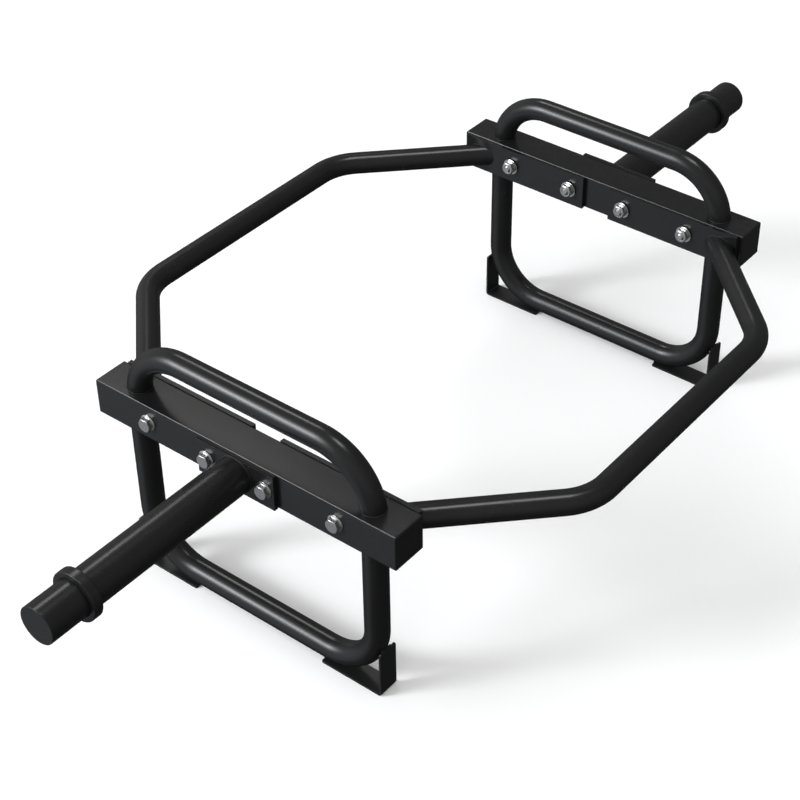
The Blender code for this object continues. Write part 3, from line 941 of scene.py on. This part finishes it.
def hexagon(x, slope_to, way):
    """A ring round a hexagon, its corners cut by a chamfer that slopes to a face's radius."""
    ring = []
    for step in range(FASTENER_STEPS):
        turn = math.tau * step / FASTENER_STEPS
        off = (turn + math.pi / 6) % (math.pi / 3) - math.pi / 6
        radius = HEX_FLATS / 2 / math.cos(off)
        drop = way * max(radius - slope_to, 0.0) * math.tan(HEX_CHAMFER)
        ring.append((x - drop, radius * math.sin(turn), radius * math.cos(turn)))
    return ring


def hexagon_piece(name, rings, around=False):
    """Joins a bolt's or a nut's rings and takes the sharpness off the hexagon's edges."""
    shape = bmesh.new()
    skin_over(shape, rings, around)
    bmesh.ops.recalc_face_normals(shape, faces=shape.faces)
    shape.normal_update()
    edges = []
    for edge in shape.edges:
        nearest = min(math.hypot(vertex.co.y, vertex.co.z) for vertex in edge.verts)
        sharp = len(edge.link_faces) == 2 and edge.calc_face_angle(0.0) > HEX_SHARP
        if sharp and nearest > HEX_FLATS / 2 - SAME_PLACE:
            edges.append(edge)
    round_edges(shape, edges, HEX_EDGE, HEX_EDGE_STEPS)
    piece = as_piece(name, shape)
    soften(piece, crease=FASTENER_CREASE)
    return piece


def thread_rings(tip):
    """Rings that follow a rolled thread from a bolt's point until it runs out."""
    rings = []
    for step in range(THREAD_STEPS + 1):
        x = tip + TIP_LENGTH + THREAD_LENGTH * step / THREAD_STEPS
        run_out = min(1.0, (THREAD_STEPS - step) / THREAD_RUN_OUT)
        ring = []
        for number, (_, y, z) in enumerate(circle(x, 1.0)):
            phase = (x / THREAD_PITCH + number / FASTENER_STEPS) % 1.0
            radius = BOLT_RADIUS - run_out * THREAD_DEPTH * abs(2 * phase - 1)
            ring.append((x, radius * y, radius * z))
        rings.append(ring)
    return rings


ZINC = zinc("zinc_plate", roughness=(0.18, 0.36))

for kind, numbers in (("sleeve_plate", MIDDLE_BOLTS), ("beam", END_BOLTS)):
    seat = end_of(f"right_head_washer_{numbers[0]}", 0, 1)
    head = end_of(f"right_bolt_{numbers[0]}", 0, 1) - seat
    tip = end_of(f"right_bolt_{numbers[0]}", 0, -1) - seat
    rings = [circle(tip, TIP_FACE), *thread_rings(tip), circle(0.0, BOLT_RADIUS)]
    rings += [circle(0.0, HEAD_COLLAR), circle(HEAD_COLLAR_HEIGHT, HEAD_COLLAR)]
    rings += [hexagon(HEAD_COLLAR_HEIGHT, UNCUT, 1), hexagon(head, HEAD_FACE, 1)]
    rings += [circle(head, HEAD_FACE)]
    pattern = hexagon_piece(f"{kind}_bolt_pattern", rings)
    set_out(f"{kind}_bolts", pattern, "bolt", numbers, "head_washer", ZINC)

# Washers: steel rings of the same plating, one under every head and one under every nut. Each
# has a flat seat and slopes off all round to a thin rim, as the flange of a flanged bolt does.
WASHER_SEAT = 0.0092
WASHER_BORE = 0.0053
WASHER_DROP = 0.0013
WASHER_ROUNDING = 0.0003

WASHER_ZINC = zinc("washer_zinc", roughness=(0.18, 0.34))

for kind in ("head_washer", "nut_washer"):
    low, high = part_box(f"right_{kind}_1")
    thickness = high.x - low.x
    rim = (high.z - low.z) / 2
    profile = [(-thickness, WASHER_BORE), (-thickness, rim)]
    profile += rounded_edge(-WASHER_DROP, rim, -1, -1, WASHER_ROUNDING)
    profile += [(0.0, WASHER_SEAT), (0.0, WASHER_BORE)]
    pattern = build(f"{kind}_pattern", [circle(x, r) for x, r in profile], around=True)
    soften(pattern)
    set_out(f"{kind}s", pattern, kind, BOLTS, kind, WASHER_ZINC)

# Nuts: plain zinc plated hexagon nuts on the bolts' ends, inside the ring. They are chamfered
# to a round face at both ends and countersunk where the thread starts.
NUT_FACE = 0.0078
NUT_BORE = 0.0052
NUT_COUNTERSINK = 0.0058
NUT_COUNTERSINK_DEPTH = 0.0006

low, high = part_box("right_nut_1")
height = high.x - low.x
rings = [circle(-height + NUT_COUNTERSINK_DEPTH, NUT_BORE), circle(-height, NUT_COUNTERSINK)]
rings += [circle(-height, NUT_FACE), hexagon(-height, NUT_FACE, -1)]
rings += [hexagon(0.0, NUT_FACE, 1), circle(0.0, NUT_FACE)]
rings += [circle(0.0, NUT_COUNTERSINK), circle(-NUT_COUNTERSINK_DEPTH, NUT_BORE)]
pattern = hexagon_piece("nut_pattern", rings, around=True)
set_out("nuts", pattern, "nut", BOLTS, "nut", ZINC)

# Studio: a wide white floor that keeps the object's soft shadow, lamps on the left, behind and
# overhead, and a dark tent. The tent and the lamps' glints are seen in reflections only, and
# the light comes from lamps and a pale room that aren't: the real coat mirrors no white floor.
FLOOR_SIZE = 50.0
FLOOR_TONE = (0.98, 0.98, 0.98, 1)
FLOOR_LIFT = 0.057
FLOOR_FADE = (1.6, 4.0)
ROOM_ABOVE = 0.73
ROOM_LEAN = 0.75
ROOM_BELOW = 0.30
ROOM_HORIZON = (-0.15, 0.25)
WHITE = (1.0, 1.0, 1.0, 1)
TENT_RADIUS = 18.0
TENT_SIDES = 64
TENT_BELOW = 0.03
TENT_ABOVE = 0.155
TENT_LEFT = 0.19
TENT_HORIZON = (-0.65, 0.30)

# Two soft patches of light on the tent, each with its azimuth and elevation, its half width in
# degrees, its strength and its tint: a wide cool one low on the left and a faint one behind.
GLOWS = (
    ((142.0, -14.0), 46.0, 0.32, (0.94, 0.98, 1.07, 1)),
    ((95.0, 18.0), 48.0, 0.12, WHITE),
)
LAMP_DISTANCE = 12.0
LAMP_TARGET = Vector((0.0, 0.0, 0.2))
LEFT_WAY = (143.0, 25.0)
EDGE_WAY = (115.0, 54.0)
BACK_GLINT_WAY = (55.0, 48.5)
BACK_LIGHT_WAY = (51.5, 51.0)
TOP_WAY = (-42.0, 82.5)
LEFT_TINT = (0.985, 1.0, 1.025)
BACK_TINT = (1.01, 1.0, 0.975)
TOP_TINT = (1.0, 1.0, 1.0)


def way_to(azimuth, elevation):
    """The direction of a compass angle from +X and a height above the horizon, in degrees."""
    turn, rise = math.radians(azimuth), math.radians(elevation)
    level = math.cos(rise)
    return Vector((level * math.cos(turn), level * math.sin(turn), math.sin(rise)))


def seen_rays(tree):
    """1 for rays of the camera, of gloss and of glass, and 0 for light on the object."""
    path = put(tree, "ShaderNodeLightPath").outputs
    mirror = reckon(tree, "MAXIMUM", path["Is Camera Ray"], path["Is Glossy Ray"])
    return reckon(tree, "MAXIMUM", mirror, path["Is Transmission Ray"])


def stage_piece(name, shape, material):
    """A thing of the studio, which is no part of the object."""
    mesh = bpy.data.meshes.new(name)
    shape.to_mesh(mesh)
    shape.free()
    thing = bpy.data.objects.new(name, mesh)
    scene.collection.objects.link(thing)
    thing.data.materials.append(material)
    return thing


def floor_paper():
    """Matt white paper, lifted to white where it is looked at, and plain white far off."""
    material, tree, place = open_material("floor_paper")
    tree.nodes.remove(tree.nodes["Principled BSDF"])
    paper = put(tree, "ShaderNodeBsdfDiffuse", {"Color": FLOOR_TONE}).outputs[0]
    lift = reckon(tree, "MULTIPLY", seen_rays(tree), FLOOR_LIFT)
    glow = put(tree, "ShaderNodeEmission", {"Strength": lift}).outputs[0]
    near = put(tree, "ShaderNodeAddShader", {0: paper, 1: glow}).outputs[0]
    reach = put(tree, "ShaderNodeVectorMath", {0: place}, operation="LENGTH").outputs["Value"]
    fade = spread(tree, reach, FLOOR_FADE, (0.0, 1.0), "SMOOTHSTEP")
    far = put(tree, "ShaderNodeEmission", {"Strength": 1.0}).outputs[0]
    whole = put(tree, "ShaderNodeMixShader", {0: fade, 1: near, 2: far}).outputs[0]
    tree.links.new(whole, tree.nodes["Material Output"].inputs["Surface"])
    return material


def tent_cloth():
    """Dark cloth that glows: paler upwards and to the left, with two soft patches of light."""
    material, tree, place = open_material("tent_cloth")
    tree.nodes.remove(tree.nodes["Principled BSDF"])
    away = put(tree, "ShaderNodeVectorMath", {0: place}, operation="NORMALIZE").outputs["Vector"]
    apart = put(tree, "ShaderNodeSeparateXYZ", {"Vector": away}).outputs
    above = spread(tree, apart["X"], (1.0, -1.0), (TENT_ABOVE, TENT_ABOVE + TENT_LEFT))
    height = spread(tree, apart["Z"], TENT_HORIZON, (TENT_BELOW, above))
    light = put(tree, "ShaderNodeEmission", {"Color": WHITE, "Strength": height}).outputs[0]
    for way, half_width, strength, tint in GLOWS:
        both = {0: away, 1: way_to(*way)}
        towards = put(tree, "ShaderNodeVectorMath", both, operation="DOT_PRODUCT")
        span = (math.cos(math.radians(half_width)), 1.0)
        glow = spread(tree, towards.outputs["Value"], span, (0.0, strength), "SMOOTHSTEP")
        patch = put(tree, "ShaderNodeEmission", {"Color": tint, "Strength": glow}).outputs[0]
        light = put(tree, "ShaderNodeAddShader", {0: light, 1: patch}).outputs[0]
    tree.links.new(light, tree.nodes["Material Output"].inputs["Surface"])
    material.cycles.emission_sampling = "NONE"
    return material


shape = bmesh.new()
bmesh.ops.create_grid(shape, x_segments=1, y_segments=1, size=FLOOR_SIZE / 2)
floor = stage_piece("floor", shape, floor_paper())
floor.visible_diffuse = False
floor.visible_glossy = False
floor.visible_shadow = False

shape = bmesh.new()
bmesh.ops.create_uvsphere(
    shape, u_segments=TENT_SIDES, v_segments=TENT_SIDES // 2, radius=TENT_RADIUS
)
bmesh.ops.reverse_faces(shape, faces=shape.faces)
tent = stage_piece("tent", shape, tent_cloth())
tent.visible_camera = False
tent.visible_diffuse = False
tent.visible_transmission = False
tent.visible_volume_scatter = False
tent.visible_shadow = False

# The pale room that lights the object is stronger from above and from the left. Looked at, or
# mirrored, it is white.
world = bpy.data.worlds.new("studio")
world.use_nodes = True
tree = world.node_tree
way = put(tree, "ShaderNodeTexCoord").outputs["Generated"]
apart = put(tree, "ShaderNodeSeparateXYZ", {"Vector": way}).outputs
above = spread(tree, apart["Z"], ROOM_HORIZON, (ROOM_BELOW, ROOM_ABOVE), "SMOOTHSTEP")
lean = spread(tree, apart["X"], (-1.0, 1.0), (1.0 + ROOM_LEAN, 1.0 - ROOM_LEAN))
room = tree.nodes["Background"]
room.inputs["Color"].default_value = WHITE
tree.links.new(reckon(tree, "MULTIPLY", above, lean), room.inputs["Strength"])
white = put(tree, "ShaderNodeBackground", {"Color": WHITE, "Strength": 1.0}).outputs[0]
parts = {0: seen_rays(tree), 1: room.outputs[0], 2: white}
either = put(tree, "ShaderNodeMixShader", parts).outputs[0]
tree.links.new(either, tree.nodes["World Output"].inputs["Surface"])
scene.world = world

# The low left lamp would turn whole flat faces white when they are seen from the far side, so
# its glints fall on the round steel alone, and a higher one draws the flat steel's edges.
flat_steel = bpy.data.collections.new("flat_steel")
round_steel = bpy.data.collections.new("round_steel")
for piece in scene.objects:
    if piece.type == "MESH":
        flat = piece.active_material in (BEAM_ENAMEL, FOOT_ENAMEL)
        (flat_steel if flat else round_steel).objects.link(piece)


def round_lamp(name, way, half_angle, brightness, tint, mirrored, lit=None):
    """A round softbox as bright as white paper times the brightness, for glints or for light."""
    radius = LAMP_DISTANCE * math.tan(math.radians(half_angle))
    data = bpy.data.lights.new(name, "AREA")
    data.shape = "DISK"
    data.size = 2 * radius
    data.energy = brightness * math.pi * math.pi * radius**2
    data.color = tint
    box = bpy.data.objects.new(name, data)
    away = way_to(*way)
    box.location = LAMP_TARGET + away * LAMP_DISTANCE
    box.rotation_euler = away.to_track_quat("Z", "Y").to_euler()
    box.visible_camera = False
    box.visible_glossy = mirrored
    box.visible_diffuse = not mirrored
    box.light_linking.receiver_collection = lit
    scene.collection.objects.link(box)


# Each lamp has its direction, its half angle in degrees and its brightness.
round_lamp("left_glint_heart", LEFT_WAY, 6.0, 17.0, LEFT_TINT, mirrored=True, lit=round_steel)
round_lamp("left_glint", LEFT_WAY, 16.0, 5.0, LEFT_TINT, mirrored=True, lit=round_steel)
round_lamp("left_glint_skirt", LEFT_WAY, 26.0, 0.6, LEFT_TINT, mirrored=True, lit=round_steel)
round_lamp("edge_glint", EDGE_WAY, 11.0, 13.0, LEFT_TINT, mirrored=True, lit=flat_steel)
round_lamp("back_glint", BACK_GLINT_WAY, 6.5, 5.8, BACK_TINT, mirrored=True)
round_lamp("top_glint", TOP_WAY, 8.5, 6.8, TOP_TINT, mirrored=True)
round_lamp("left_light", LEFT_WAY, 8.0, 37.0, LEFT_TINT, mirrored=False)
round_lamp("left_soft_light", LEFT_WAY, 25.0, 2.54, LEFT_TINT, mirrored=False)
round_lamp("back_light", BACK_LIGHT_WAY, 7.5, 1.13, BACK_TINT, mirrored=False)
round_lamp("top_light", TOP_WAY, 8.5, 1.13, TOP_TINT, mirrored=False)

scene.view_settings.view_transform = "Standard"
